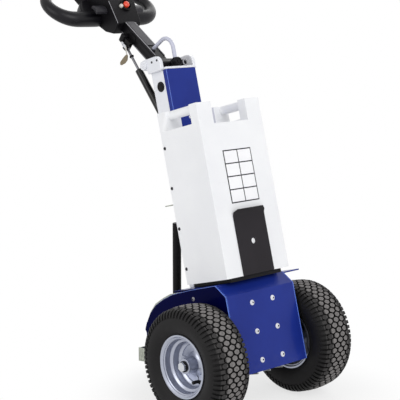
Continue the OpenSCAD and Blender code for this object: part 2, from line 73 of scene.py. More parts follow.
print("frame loaded:", len(nodes), "nodes")


# Shader maths: a wire wraps a socket, and operators on it add Math nodes
class Wire:
    def __init__(self, owner, socket):
        self.owner = owner
        self.socket = socket

    def maths(self, operation, first, second):
        return self.owner.node("ShaderNodeMath", {"operation": operation}, {0: first, 1: second})

    def __add__(self, other):
        return self.maths("ADD", self, other)

    def __radd__(self, other):
        return self.maths("ADD", other, self)

    def __sub__(self, other):
        return self.maths("SUBTRACT", self, other)

    def __rsub__(self, other):
        return self.maths("SUBTRACT", other, self)

    def __mul__(self, other):
        return self.maths("MULTIPLY", self, other)

    def __rmul__(self, other):
        return self.maths("MULTIPLY", other, self)

    def __abs__(self):
        return self.maths("ABSOLUTE", self, 0)

    def between(self, low, high):  # 0 below low, 1 above high, smooth between
        return self.owner.node("ShaderNodeMapRange", {"interpolation_type": "SMOOTHSTEP"},
                               {"Value": self, "From Min": low, "From Max": high})


class Tree:
    def __init__(self, tree):
        self.tree = tree

    def node(self, kind, settings=None, inputs=None, out=0):
        made = self.tree.nodes.new(kind)
        for key, value in (settings or {}).items():
            setattr(made, key, value)
        for key, value in (inputs or {}).items():
            self.feed(made.inputs[key], value)
        return Wire(self, made.outputs[out])

    def feed(self, socket, value):
        if isinstance(value, Wire):
            self.tree.links.new(value.socket, socket)
        else:
            socket.default_value = value


class Finish(Tree):
    def __init__(self, name, **fixed):
        self.material = bpy.data.materials.new(name)
        self.material.use_nodes = True
        super().__init__(self.material.node_tree)
        self.shader = self.tree.nodes["Principled BSDF"]
        self.place = self.node("ShaderNodeTexCoord", out="Object")
        for key, value in fixed.items():
            self.put(key, value)

    def put(self, key, value):  # coatWeight -> Coat Weight
        words = "".join(" " + c if c.isupper() else c for c in key).title()
        self.feed(self.shader.inputs[words.replace("Ior", "IOR")], value)

    def noise(self, scale, detail=2.0, stretch=None):
        place = self.place
        if stretch:
            place = self.node("ShaderNodeMapping", None, {"Vector": self.place, "Scale": stretch})
        return self.node("ShaderNodeTexNoise", None, {"Vector": place, "Scale": scale, "Detail": detail})

    def cells(self, scale, out="Distance"):
        return self.node("ShaderNodeTexVoronoi", None, {"Vector": self.place, "Scale": scale}, out)

    def tint(self, factor, first, second):
        return self.node("ShaderNodeMix", {"data_type": "RGBA"}, {0: factor, 6: first, 7: second}, 2)

    def axis(self, name):
        return self.node("ShaderNodeSeparateXYZ", None, {0: self.place}, name)

    def away(self, moved, scale=(1, 1, 1)):  # distance from a spot, without the axes whose scale is 0
        centred = self.node("ShaderNodeMapping", None, {"Vector": self.place, "Location": moved, "Scale": scale})
        return self.node("ShaderNodeVectorMath", {"operation": "LENGTH"}, {0: centred}, "Value")

    def relief(self, height, depth):
        self.put("normal", self.node("ShaderNodeBump", None, {"Height": height, "Distance": depth, "Strength": 0.6}))


def colour(red, green, blue):  # 0 to 255 as seen, to linear
    seen = [c / 255 for c in (red, green, blue)]
    return (*[c / 12.92 if c <= 0.04045 else ((c + 0.055) / 1.055) ** 2.4 for c in seen], 1)


def painted(name, light, dark, rough, coat, shine, grain, depth=0.00005):
    made = Finish(name, coatWeight=coat, coatRoughness=0.05, specularIorLevel=shine)
    cloud = made.noise(9, 4)
    made.put("baseColor", made.tint(cloud.between(0.3, 0.7), colour(*dark), colour(*light)))
    made.put("roughness", cloud * 0.1 + rough - 0.05)
    made.relief(made.noise(grain, 2), depth)
    return made


def gloss(*values):
    return painted(*values).material


def bluePaint(name, light, dark, coat, shine):  # with a little dust low down
    made = painted(name, light, dark, 0.24, coat, shine, 700, 0.00004)
    dust = (1 - made.axis("Z").between(0.03, 0.2)) * made.noise(60, 5).between(0.45, 0.75) * 0.2
    base = made.shader.inputs["Base Color"].links[0].from_socket
    made.put("baseColor", made.tint(dust, Wire(made, base), colour(110, 110, 118)))
    return made.material


def casePlastic():  # moulded white with faint upright scuffs
    made = Finish("case plastic", specularIorLevel=0.4)
    cloud = made.noise(6, 5)
    scuff = made.noise(40, 6, (1, 1, 5)).between(0.62, 0.8) * 0.16
    shade = made.tint(cloud.between(0.3, 0.7), colour(234, 235, 238), colour(240, 241, 243))
    made.put("baseColor", made.tint(scuff, shade, colour(196, 197, 202)))
    made.put("roughness", cloud * 0.16 + 0.4)
    made.relief(made.noise(1300, 3) + made.cells(500) * 0.5, 0.00009)
    return made.material


def tyreRubber():  # dark rubber with scrubbed, dusty stud tops
    made = Finish("tyre rubber", specularIorLevel=0.2)
    radius = made.away((0, -axle.y, -axle.z), (0, 1, 1))
    across = abs(made.axis("X")) - halfTrack * 0.001
    level = radius + across * across * 2.27  # takes the crown out
    tops = level.between(0.1632, 0.1641) * (1 - abs(across).between(0.026, 0.033) * 0.85)
    worn = tops * (made.noise(160, 4) * 0.8 + 0.4)
    dusty = made.noise(30, 5).between(0.5, 0.8) * 0.3
    side = made.tint(dusty, colour(21, 20, 21), colour(38, 37, 36))
    made.put("baseColor", made.tint(worn, side, colour(132, 129, 128)))
    made.put("roughness", worn * 0.2 + 0.6)
    made.relief(made.noise(900, 4), 0.00012)
    return made.material


def metal(name, light, dark, rough, metallic, stretch=None, grain=300, depth=0.00003):
    made = Finish(name, metallic=metallic)
    cloud = made.noise(grain, 4, stretch)
    made.put("baseColor", made.tint(cloud.between(0.3, 0.7), colour(*dark), colour(*light)))
    made.put("roughness", made.noise(25, 4) * 0.16 + rough - 0.08)
    made.relief(cloud, depth)
    return made.material


def zincPlate():  # spangled grey
    made = Finish("zinc plate", metallic=0.8)
    spangle = made.cells(170, out="Color")
    grey = made.node("ShaderNodeSeparateColor", None, {0: spangle})
    made.put("baseColor", made.tint(grey, colour(144, 148, 138), colour(176, 180, 168)))
    made.put("roughness", grey * 0.16 + 0.32)
    made.relief(made.noise(400, 3), 0.00003)
    return made.material


# Finishes: light and dark shade, roughness, coat, shine, grain and its depth
finishes = {
    "blue": bluePaint("blue paint", (28, 47, 134), (24, 42, 126), 0.05, 0.16),
    # a darker, duller blue for the cheeks, the plate's sides and the cheek screw's socket: painted shade
    "navy": bluePaint("shaded blue paint", (2, 5, 58), (2, 4, 50), 0.0, 0.02),
    # a brighter blue for the rounded bends and the cheeks' outlines: painted highlight
    "bend": gloss("blue paint, painted highlight", (84, 122, 216), (64, 100, 202), 0.24, 0.3, 0.5, 700, 0.00004),
    "white": gloss("white paint", (232, 233, 238), (224, 226, 232), 0.36, 0.2, 0.5, 1100),
    "case": casePlastic(),
    "black": gloss("black paint", (15, 14, 16), (12, 11, 13), 0.42, 0.0, 0.12, 1300, 0.00008),
    "satin": gloss("satin black", (37, 34, 38), (32, 29, 33), 0.5, 0.0, 0.15, 1300, 0.00008),
    "plastic": gloss("black plastic", (17, 16, 19), (13, 12, 15), 0.42, 0.0, 0.14, 1500, 0.00012),
    "grip": gloss("grip rubber", (16, 15, 20), (12, 11, 16), 0.36, 0.0, 0.24, 800, 0.00018),
    "profile": gloss("anodised profile", (16, 15, 18), (13, 12, 15), 0.34, 0.0, 0.14, 1600, 0.00003),
    "lid": gloss("grey strip", (70, 69, 73), (62, 61, 65), 0.4, 0.0, 0.2, 1200, 0.00004),
    # pale grey: a painted highlight on the tiller's edges, the head's corner and the cheek screws' heads
    "lip": gloss("pale grey and painted edge highlight", (150, 149, 154), (136, 135, 140), 0.34, 0.0, 0.4, 1200, 0.00004),
    "gas": gloss("gloss black", (9, 8, 10), (7, 6, 8), 0.18, 0.12, 0.28, 1300, 0.00002),
    "rubber": tyreRubber(),
    "silver": metal("rim silver", (180, 184, 197), (166, 170, 184), 0.32, 0.9, None, 2500),
    "zinc": zincPlate(),
    "steel": metal("bright steel", (214, 216, 220), (190, 192, 197), 0.24, 1.0, (1, 30, 1), 90),
    "rodSteel": metal("rod steel", (120, 120, 125), (98, 98, 103), 0.2, 1.0, (30, 30, 1), 90),
    "alloy": metal("cast alloy", (168, 170, 173), (142, 144, 148), 0.55, 0.7, None, 350, 0.0003),
    "conduit": gloss("conduit", (196, 198, 214), (184, 186, 203), 0.36, 0.0, 0.5, 600, 0.00004),
    "lever": gloss("lever grey", (42, 41, 46), (36, 35, 40), 0.4, 0.0, 0.3, 1200, 0.00006),
    "red": gloss("stop red", (226, 66, 34), (208, 52, 28), 0.3, 0.3, 0.5, 900, 0.00003),
    "bronze": metal("tag bronze", (142, 130, 108), (112, 100, 82), 0.45, 0.7, (1, 4, 4), 160),
    "strap": gloss("pale strap", (214, 212, 206), (190, 188, 182), 0.6, 0.0, 0.4, 700, 0.0001),
    "label": gloss("label film", (246, 246, 248), (241, 241, 244), 0.3, 0.2, 0.5, 900, 0.00002),
    "line": gloss("label line", (30, 29, 36), (25, 24, 30), 0.35, 0.0, 0.2, 900, 0.00002),
    "rearTyre": gloss("rear tyre", (52, 74, 140), (44, 63, 124), 0.5, 0.0, 0.4, 900, 0.00012),
    "battery": gloss("battery", (50, 50, 54), (42, 42, 46), 0.5, 0.0, 0.4, 900, 0.0001),
}
print("finishes made:", len(finishes))


# Mesh helpers
def shape(draw):  # makes a function that draws into a bmesh give that bmesh
    def made(*values):
        bm = bmesh.new()
        draw(bm, *values)
        return bm
    return made


def vertsIn(geom):
    return [v for v in geom if isinstance(v, bmesh.types.BMVert)]


def paintGroups(bm, *groups):  # finish 0 on the first group of faces, 1 on the next, the last on the rest
    for f in bm.faces:
        f.material_index = next((k for k, group in enumerate(groups) if f in group), len(groups))


def mirrored(profile):  # pairs of place along X and radius, from the other end
    return [(-x, r) for x, r in reversed(profile)]


def outwards(bm, verts=None):  # turns the normals outwards, of all faces or of those at some vertices
    bm.normal_update()  # a transform leaves the old normals, which would mislead the next step
    faces = list({f for v in verts for f in v.link_faces}) if verts else bm.faces
    bmesh.ops.recalc_face_normals(bm, faces=faces)


def meshFrom(bm, name):
    mesh = bpy.data.meshes.new(name)
    bm.to_mesh(mesh)
    bm.free()
    return mesh


def placed(name, data):
    made = bpy.data.objects.new(name, data)
    bpy.context.scene.collection.objects.link(made)
    return made


def drawnOut(bm, face, along):  # makes a solid of a face and gives the moved vertices
    moved = vertsIn(bmesh.ops.extrude_face_region(bm, geom=[face], use_keep_orig=True)["geom"])
    bmesh.ops.translate(bm, vec=along, verts=moved)
    return moved


def soften(bm, verts, width, steps=3, angle=28):  # rounds the sharp edges and gives the new faces
    inside = set(verts)
    edges = [e for e in bm.edges if e.verts[0] in inside and e.verts[1] in inside
             and len(e.link_faces) == 2 and e.calc_face_angle(0) > math.radians(angle)]
    return bmesh.ops.bevel(bm, geom=edges, offset=width, affect="EDGES", segments=steps, profile=0.5,
                           material=-1, clamp_overlap=True)["faces"]


def block(bm, low, high, rounding=0.0, steps=3):
    made = bmesh.ops.create_cube(bm, size=1)["verts"]
    low, high = Vector(low), Vector(high)
    bmesh.ops.scale(bm, vec=high - low, verts=made)
    bmesh.ops.translate(bm, vec=(low + high) / 2, verts=made)
    if rounding:
        soften(bm, made, rounding, steps)


def rod(bm, start, end, radius, rounding=0.0, sides=32, endRadius=None):
    start, end = Vector(start), Vector(end)
    turn = (end - start).to_track_quat("Z", "Y").to_matrix().to_4x4()
    made = bmesh.ops.create_cone(bm, cap_ends=True, segments=sides, radius1=radius,
                                 radius2=radius if endRadius is None else endRadius,
                                 depth=(end - start).length, matrix=Matrix.Translation((start + end) / 2) @ turn)
    if rounding:
        soften(bm, made["verts"], rounding, 2, 50)


def plate(bm, outline, near, far, rounding=0.0, steps=2):  # an outline in Y and Z, drawn out along X
    face = bm.faces.new([bm.verts.new((near, y, z)) for y, z in outline])
    made = list(face.verts) + drawnOut(bm, face, (far - near, 0, 0))
    outwards(bm, made)
    if rounding:
        soften(bm, made, rounding, steps)


@shape
def platePair(bm, outline, near, far, rounding):  # the same plate on both sides of the machine
    for side in (1, -1):
        plate(bm, outline, side * near, side * far, rounding, 3)


def raised(bm, faces, height):  # draws level faces up to a height and gives the moved faces
    made = bmesh.ops.extrude_face_region(bm, geom=faces)["geom"]
    for v in vertsIn(made):
        v.co.z = height
    return [f for f in made if isinstance(f, bmesh.types.BMFace)]


def joined(bm, part):  # adds a shape that was made on its own
    outwards(part)
    holder = meshFrom(part, "holder")
    bm.from_mesh(holder)
    bpy.data.meshes.remove(holder)


def turned(bm, profile, place=Matrix(), steps=96):  # pairs of place along X and radius
    part = bmesh.new()
    line = [part.verts.new((x, 0, r)) for x, r in profile]
    onAxis = profile[0][1] == 0 and profile[-1][1] == 0
    edges = [part.edges.new(pair) for pair in zip(line, line[1:] if onAxis else line[1:] + line[:1])]
    bmesh.ops.spin(part, geom=line + edges, cent=(0, 0, 0), axis=(1, 0, 0), dvec=(0, 0, 0),
                   angle=math.tau, steps=steps, use_merge=True, use_duplicate=False)
    bmesh.ops.remove_doubles(part, verts=part.verts, dist=0.0001)
    part.transform(place)
    joined(bm, part)


lathe = shape(turned)


def onSide(side, x, y, z):  # a place on one side of the machine, where X points outwards
    return Matrix.Translation((side * x, y, z)) @ Matrix.Diagonal((side, 1, 1, 1))


@shape
def lathePair(bm, profile, node, spots, steps):  # turned shapes on both sides of a node
    edge = localBox(node, onChassis)[1].x
    for side in (1, -1):
        for y, z in spots:
            turned(bm, profile, onSide(side, edge, y, z), steps)


def repeat(part, count):  # copies evenly round the X axis
    geom = list(part.verts) + list(part.edges) + list(part.faces)
    bmesh.ops.spin(part, geom=geom, cent=(0, 0, 0), axis=(1, 0, 0), dvec=(0, 0, 0),
                   angle=math.tau * (count - 1) / count, steps=count - 1, use_merge=False, use_duplicate=True)


def swept(bm, stations, sides=24, closed=False):  # stations: middle, half width, half height, direction
    rings = []
    for middle, wide, high, along in stations:
        turn = Vector(along).to_track_quat("Z", "X").to_matrix().to_4x4()
        place = Matrix.Translation(middle) @ turn @ Matrix.Diagonal((high, wide, 1, 1))
        rings.append(bmesh.ops.create_circle(bm, cap_ends=False, segments=sides, radius=1, matrix=place)["verts"])
    for first, second in zip(rings, rings[1:] + rings[:1] if closed else rings[1:]):
        edges = [e for ring in (first, second) for e in {e for v in ring for e in v.link_edges}
                 if e.verts[0] in ring and e.verts[1] in ring]
        bmesh.ops.bridge_loops(bm, edges=edges)
    if not closed:
        for ring in (rings[0], rings[-1]):
            bmesh.ops.contextual_create(bm, geom=ring)
    outwards(bm, [v for ring in rings for v in ring])


screwHead = {"washerThick": 1.5, "socket": 0.5,  # the dome and socket are shares of the head's radius
             "dome": ((0, 0), (0, 1), (0.15, 1), (0.42, 0.82), (0.56, 0.55), (0.56, 0.5), (0.25, 0.46), (0.25, 0))}


def screw(bm, spot, out, radius, washer=0.0):  # a domed head with a socket, on a washer where it has one
    part = bmesh.new()
    base = screwHead["washerThick"] if washer else 0
    if washer:
        turned(part, [(0, 0), (0, washer), (1.1, washer), (base, washer - 0.5), (base, 0)], steps=32)
    turned(part, [(base + radius * high, radius * wide) for high, wide in screwHead["dome"]], steps=24)
    # the socket's faces take the second, darker finish: painted shade in the recess
    for f in part.faces:
        high, *across = f.calc_center_median()
        f.material_index = int(high > base + 0.01 and math.hypot(*across) < radius * screwHead["socket"])
    part.transform(Matrix.Translation(spot) @ Vector(out).to_track_quat("X", "Z").to_matrix().to_4x4())
    joined(bm, part)


def piece(bm, name, body, finish, place=None, stands=()):
    if place:
        bm.transform(place)
    for edge in bm.edges:
        edge.smooth = len(edge.link_faces) == 2 and edge.calc_face_angle(0) < math.radians(32)
    for face in bm.faces:
        face.smooth = True
    mesh = meshFrom(bm, name)
    made = placed(name, mesh)
    for key in [finish] if isinstance(finish, str) else finish:
        mesh.materials.append(finishes[key])
    if body:
        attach(made, body)
        made.modifiers.new("evenShade", "WEIGHTED_NORMAL").keep_sharp = True
    if stands:
        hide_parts(*stands)
    return made


def softenedNode(node, name, body, finish, slot, width, steps=2):  # a copy of a plate or bar with rounded edges
    bm = bmesh.new()
    bm.from_mesh(nodes[node].data)
    bmesh.ops.remove_doubles(bm, verts=bm.verts, dist=0.000002)
    bmesh.ops.dissolve_limit(bm, angle_limit=math.radians(0.5), verts=bm.verts, edges=bm.edges)
    edges = soften(bm, bm.verts, width * 0.001, steps, 32)
    if isinstance(finish, list):  # the second finish is for the side faces, where a darker blue is painted shade, the third for the bends beside them, a painted highlight
        for f in bm.faces:
            f.material_index = int(abs(f.normal.x) > 0.93)
        for f in edges:
            if 0.2 < abs(f.normal.x) < 0.95 and (f.normal.y < -0.1 or node.startswith("cheek")):
                f.material_index = 2
    return piece(bm, name, body, finish, None, [node])


# Plates, tubes and bars that keep their drawn shape: node, piece, body, finish, slot, rounding
plainPieces = [
    # The shell and cheeks take painted shade on their side faces and a painted highlight on their bends, the cover a
    # painted highlight on its bends
    ("front_shell", "frontShell", "chassis", ["blue", "navy", "bend"], "blue_paint", 2.6, 3),
    ("cheek_left", "cheekLeft", "chassis", ["blue", "navy", "bend"], "blue_paint", 1.9, 3),
    ("cheek_right", "cheekRight", "chassis", ["blue", "navy", "bend"], "blue_paint", 1.9, 3),
    ("side_tab", "sideTab", "chassis", "blue", "blue_paint", 1.0),
    ("rear_cover", "rearCover", "chassis", "zinc", "zinc", 0.8),
    ("stem_clamp", "stemClamp", "chassis", "blue", "blue_paint", 1.5),
    ("stem", "stemTube", "chassis", "black", "black_paint", 1.5),
    ("axle_tubes", "axleTubes", "chassis", "black", "black_paint", 1.5),
    ("stub_axles", "stubAxles", "chassis", "steel", "zinc", 1.0),
    ("battery_tray", "batteryTray", "chassis", "plastic", "black_plastic", 2.0),
    ("column", "columnTube", "chassis", "white", "white_paint", 2.0),
    ("column_cover", "columnCover", "chassis", ["blue", "blue", "bend"], "blue_paint", 6.0, 4),
    ("cable_shelf", "cableShelf", "chassis", "zinc", "zinc", 0.8),
    ("cross_tube", "crossTube", "chassis", "plastic", "black_plastic", 1.0),
    ("gas_bracket", "gasBracket", "chassis", "white", "white_paint", 0.8),
    ("gas_ears", "gasEars", "tiller", "black", "black_paint", 0.6),
    ("gas_cylinder", "gasCylinder", "gas_cylinder", "gas", "black_paint", 0.8),
    ("gas_rod", "gasRod", "gas_rod", "rodSteel", "zinc", 0.4),
    ("caster_fork", "rearFork", "caster_swivel", "zinc", "zinc", 0.9),
    ("caster_axle", "rearAxle", "caster_swivel", "steel", "zinc", 0.8),
]
for row in plainPieces:
    softenedNode(*row)
nodes["battery_block"].data.materials.clear()
nodes["battery_block"].data.materials.append(finishes["battery"])
print("plates and bars finished:", len(plainPieces))

# Drive wheels: seven columns of studs, then long and short lugs over each shoulder
tyre = {"columns": 7, "columnStep": 12, "studsRound": 35, "top": 164.5, "crownDrop": 4.0, "crownHalf": 42,
        "stud": ((9.0, 2.9), (2.6, 7.0)), "studHigh": 6.8, "studEdge": (1.2, 0.8), "studDish": (3.4, 0.6),
        "lugWide": 9.8, "lugTaper": 0.028, "taperFrom": 49,
        "carcass": ((49.6, 79.4), (49.6, 90), (54, 97), (59.5, 106), (62.2, 116), (62.9, 125), (62.0, 135),
                    (59.0, 143), (54, 149), (47, 153), (38, 155), (24, 157), (8, 158)),
        "longLug": ((38.5, 154.2), (38.5, 161.6), (46, 160.4), (53, 157), (58.5, 151.8), (62, 145), (63.3, 138.5),
                    (60.4, 138), (57, 144.8), (49, 151)),
        "shortLug": ((48.6, 151.2), (48.6, 159.4), (53, 157), (58.5, 151.8), (62, 145), (63.3, 138.5),
                     (60.4, 138), (57, 144.8))}


def studRing(bm, x, turn):  # one column of eight-sided studs with hollow tops
    drop = tyre["crownDrop"] * (x / tyre["crownHalf"]) ** 2
    slope = math.atan(2 * tyre["crownDrop"] * x / tyre["crownHalf"] ** 2)
    place = (Matrix.Rotation(turn, 4, "X") @ Matrix.Translation((x, 0, tyre["top"] - drop - tyre["studHigh"]))
             @ Matrix.Rotation(slope, 4, "Y"))
    (a, b), (c, d) = tyre["stud"]
    part = bmesh.new()
    outline = ((a, b), (c, d), (-c, d), (-a, b), (-a, -b), (-c, -d), (c, -d), (a, -b))
    base = part.faces.new([part.verts.new((*spot, 0)) for spot in outline])
    (edge, chamfer), (border, hollow) = tyre["studEdge"], tyre["studDish"]
    cap = raised(part, [base], tyre["studHigh"] - chamfer)
    bmesh.ops.inset_region(part, faces=cap, thickness=edge, depth=chamfer)
    bmesh.ops.inset_region(part, faces=cap, thickness=border, depth=-hollow)
    part.transform(place)
    repeat(part, tyre["studsRound"])
    joined(bm, part)


def lugRing(bm, outline, side, turn):  # lugs that narrow towards the sidewall
    part = bmesh.new()
    face = part.faces.new([part.verts.new((side * x, -tyre["lugWide"] / 2, r)) for x, r in outline])
    drawnOut(part, face, (0, tyre["lugWide"], 0))
    for v in part.verts:
        v.co.y *= 1 - tyre["lugTaper"] * max(abs(v.co.x) - tyre["taperFrom"], 0)
    outwards(part)
    part.transform(Matrix.Rotation(turn, 4, "X"))
    repeat(part, tyre["studsRound"])
    joined(bm, part)


@shape
def tyreMesh(bm):
    turned(bm, [*tyre["carcass"], *mirrored(tyre["carcass"])], steps=120)
    pitch = math.tau / tyre["studsRound"]
    middle = (tyre["columns"] - 1) // 2
    for k in range(-middle, middle + 1):
        studRing(bm, k * tyre["columnStep"], pitch / 2 * (k % 2))
    for side in (1, -1):
        lugRing(bm, tyre["shortLug"], side, pitch / 2 * (middle % 2))
        lugRing(bm, tyre["longLug"], side, pitch / 2 * ((middle + 1) % 2))


rim = {"pockets": 4, "pocketFrom": 36, "pocketTo": 57, "pocketHalf": 0.6, "pocketEdge": 2.2, "pocketDeep": 2.8,
       "hubEnd": 43, "washer": (15.8, -2, 3.6), "bolt": (14, 3.4, 11),  # radius, start and end past the hub's end
       "flange": ((49.8, 88.8), (53.4, 88.8), (53.9, 87.2), (53.7, 84.4), (51.2, 82), (48.6, 79.4), (46, 76.4),
                  (31, 74.6)),
       "face": ((28, 72.4), (25.6, 66.4), (22.4, 64.4), (7, 63.6), (3.6, 61), (1.6, 56), (0.4, 48), (0, 40), (2, 33),
                (6, 26), (10, 22.6)),
       "behind": ((-30, 12.7), (-30, 22), (-4, 27), (-4, 50), (-6, 60), (-22.4, 63.6), (-25.6, 66), (-28, 72)),
       "well": ((24, 69), (30, 77.6), (49.8, 79.0))}


@shape
def rimMesh(bm, side):  # drawn with its outside at +X, then turned for the other wheel
    out = rim["hubEnd"]
    hub = [(out - 1, 21.6), (out, 20.6), (out, 12.7)]
    seat = [*mirrored(rim["flange"]), *mirrored(rim["well"]), *rim["well"]]
    turned(bm, [*rim["flange"], *rim["face"], *hub, *rim["behind"], *seat])
    for k in range(rim["pockets"]):
        middle = math.tau * (k + 0.5) / rim["pockets"]
        pocket = []
        for f in bm.faces:
            x, *spot = f.calc_center_median()
            turn = (math.atan2(*spot) - middle + math.pi) % math.tau - math.pi
            onDisc = rim["pocketFrom"] < math.hypot(*spot) < rim["pocketTo"] and x > -0.5 and f.normal.x > 0.6
            if onDisc and abs(turn) < rim["pocketHalf"]:
                pocket.append(f)
        bmesh.ops.inset_region(bm, faces=pocket, thickness=rim["pocketEdge"], depth=-rim["pocketDeep"])
    silver = set(bm.faces)
    # the washer takes the black finish: painted shade round the bolt
    radius, start, end = rim["washer"]
    rod(bm, (out + start, 0, 0), (out + end, 0, 0), radius, 0.6)
    dark = set(bm.faces) - silver
    radius, start, end = rim["bolt"]
    rod(bm, (out + start, 0, 0), (out + end, 0, 0), radius, 0.8, 6)
    paintGroups(bm, silver, dark)
    bm.transform(Matrix.Diagonal((side, 1, 1, 1)))
    outwards(bm)


valve = {"angle": 222, "foot": (16, 63), "knee": (27, 55), "tip": (47, 54), "capLong": 12,
         "footRadius": 7, "kneeRadius": 5, "stemRadius": 4.6, "capRadius": 4.9}


@shape
def valveMesh(bm, side):
    turn = math.radians(valve["angle"])
    out, away = Vector((0, math.cos(turn), math.sin(turn))), Vector((side, 0, 0))
    foot, knee, tip = [away * valve[key][0] + out * valve[key][1] for key in ("foot", "knee", "tip")]
    cap = tip - away * valve["capLong"]
    rod(bm, foot, knee, valve["footRadius"], 1, 20, valve["kneeRadius"])
    rod(bm, knee - away * 2, cap, valve["stemRadius"], 0.8, 20)
    rod(bm, cap, tip, valve["capRadius"], 1, 20)


for side, word in ((1, "Left"), (-1, "Right")):
    body = "wheel_" + word.lower()
    place = Matrix.Translation((side * halfTrack * 0.001, axle.y, axle.z)) @ millimetre
    piece(tyreMesh(), "driveTyre" + word, body, "rubber", place, ["drive_tyre_" + word.lower()])
    piece(rimMesh(side), "driveRim" + word, body, ["silver", "profile", "steel"], place,
          ["drive_rim_" + word.lower()])
    piece(valveMesh(side), "valve" + word, body, "plastic", place)
print("drive wheels made")

# Battery case with its lifting bars
case = {"wall": 56, "lid": 646, "sill": 653, "gripFrom": -64, "gripTo": 40, "barIn": 21, "barRadius": 13,
        "barSink": 6, "rounding": 4}


@shape
def caseMesh(bm):  # side walls drawn up past the lid, with an open sill under each bar
    low, high = localBox("battery_case", onChassis)
    bmesh.ops.create_grid(bm, x_segments=3, y_segments=3, size=1)
    across = [low.x, low.x + case["wall"], high.x - case["wall"], high.x]
    along = [low.y, case["gripFrom"], case["gripTo"], high.y]
    for v in bm.verts:
        v.co = (across[round((v.co.x + 1) * 1.5)], along[round((v.co.y + 1) * 1.5)], low.z)
    lid = raised(bm, list(bm.faces), case["lid"])
    walls = raised(bm, [f for f in lid if abs(f.calc_center_median().x) > high.x - case["wall"]], case["sill"])
    raised(bm, [f for f in walls if not case["gripFrom"] < f.calc_center_median().y < case["gripTo"]], high.z)
    outwards(bm)
    bmesh.ops.dissolve_limit(bm, angle_limit=0.01, verts=bm.verts, edges=bm.edges)
    soften(bm, bm.verts, case["rounding"], 4, 40)
    for side in (1, -1):
        x, z = side * (high.x - case["barIn"]), high.z - case["barRadius"]
        start, end = case["gripFrom"] - case["barSink"], case["gripTo"] + case["barSink"]
        rod(bm, (x, start, z), (x, end, z), case["barRadius"] - 0.05, 0, 48)


piece(caseMesh(), "batteryCase", "chassis", "case", onChassis, ["battery_case"])

label = {"half": 54, "low": 416, "high": 567, "columns": 2, "rows": 4, "line": 3.2, "sheet": 0.5, "proud": 0.35,
         "edge": 0.15}


@shape
def labelMesh(bm):  # a blank panel: a dark frame and empty cells
    front = localBox("battery_case", onChassis)[0].y
    sheet = front - label["sheet"]
    block(bm, (-label["half"], sheet, label["low"]), (label["half"], front + 0.3, label["high"]), label["edge"], 1)
    for f in bm.faces:
        f.material_index = 1
    wide = (2 * label["half"] - label["line"]) / label["columns"]
    tall = (label["high"] - label["low"] - label["line"]) / label["rows"]
    for i in range(label["columns"]):
        for j in range(label["rows"]):
            x, z = -label["half"] + label["line"] + i * wide, label["low"] + label["line"] + j * tall
            block(bm, (x, sheet - label["proud"], z),
                  (x + wide - label["line"], front, z + tall - label["line"]), label["edge"], 1)


piece(labelMesh(), "labelPanel", "chassis", ["label", "line"], onChassis)
print("battery case made")

latch = {"bend": 372, "thick": 3, "holeHeight": 304, "hole": 8.2,
         "lip": ((-0.5, 8, 1), (-4, 9, 1), (-7.4, 7, 0.83))}  # steps forward and up, and share of the width


@shape
def latchMesh(bm):  # a hooked plate with a round hole, against the case
    low, high = localBox("latch_plate", onChassis)
    middle = Vector((0, localBox("battery_case", onChassis)[0].y - latch["thick"], latch["holeHeight"]))
    facing = Matrix.Translation(middle) @ Matrix.Rotation(math.radians(90), 4, "X")
    bmesh.ops.create_circle(bm, cap_ends=False, segments=24, radius=latch["hole"], matrix=facing)
    border = bmesh.ops.create_circle(bm, cap_ends=False, segments=24, radius=1, matrix=facing)["verts"]
    for v in border:  # the outer ring goes out to the plate's edges
        across, up = v.co.x, v.co.z - middle.z
        tall = latch["bend"] - middle.z if up > 0 else middle.z - low.z
        grow = 1 / max(abs(across) / high.x, abs(up) / tall)
        v.co = (across * grow, middle.y, middle.z + up * grow)
    for x in (low.x, high.x):
        for z in (low.z, latch["bend"]):
            corner = Vector((x, middle.y, z))
            min(border, key=lambda v: (v.co - corner).length).co = corner
    bmesh.ops.bridge_loops(bm, edges=bm.edges)
    top = [e for e in bm.edges if min(v.co.z for v in e.verts) > latch["bend"] - 0.01]
    for forward, up, narrow in latch["lip"]:
        made = bmesh.ops.extrude_edge_only(bm, edges=top)["geom"]
        top = [e for e in made if isinstance(e, bmesh.types.BMEdge) and all(v in made for v in e.verts)
               and len(e.link_faces) == 1 and abs(e.verts[0].co.z - e.verts[1].co.z) < 0.01]
        for v in vertsIn(made):
            v.co = (v.co.x * narrow, v.co.y + forward, v.co.z + up)
    outwards(bm)
    if sum(f.normal.y for f in bm.faces) > 0:
        bmesh.ops.reverse_faces(bm, faces=bm.faces)
    bmesh.ops.solidify(bm, geom=bm.faces, thickness=latch["thick"] - 0.1)


piece(latchMesh(), "latchPlate", "chassis", "satin", onChassis, ["latch_plate"])

# Screws: places, and head and washer radius
screws = {"couplingRows": (134.5, 53.5, -27.5), "couplingHalf": 40.5, "couplingSize": (5.2, 7.6),
          "caseHeights": (606, 490, 373, 257), "caseBack": 68, "caseSize": (5, 0), "caseSink": 0.4,
          "cheek": (46, 171), "cheekSize": (4.2, 5.6), "cover": (2, 691), "coverRadius": 4.5}


@shape
def screwMesh(bm):
    plateFront = localBox("front_shell", onChassis)[0].y
    for z in screws["couplingRows"]:
        for x in (-screws["couplingHalf"], screws["couplingHalf"]):
            screw(bm, (x, plateFront, z), (0, -1, 0), *screws["couplingSize"])
    x, z = screws["cover"]
    screw(bm, (x, localBox("column_cover", onChassis)[0].y, z), (0, -1, 0), screws["coverRadius"])


piece(screwMesh(), "plateScrews", "chassis", ["white", "plastic"], onChassis)


@shape
def sideScrewMesh(bm, node, spots, sink, size):
    edge = localBox(node, onChassis)[1].x - sink
    for side in (1, -1):
        for y, z in spots:
            screw(bm, (side * edge, y, z), (side, 0, 0), *size)


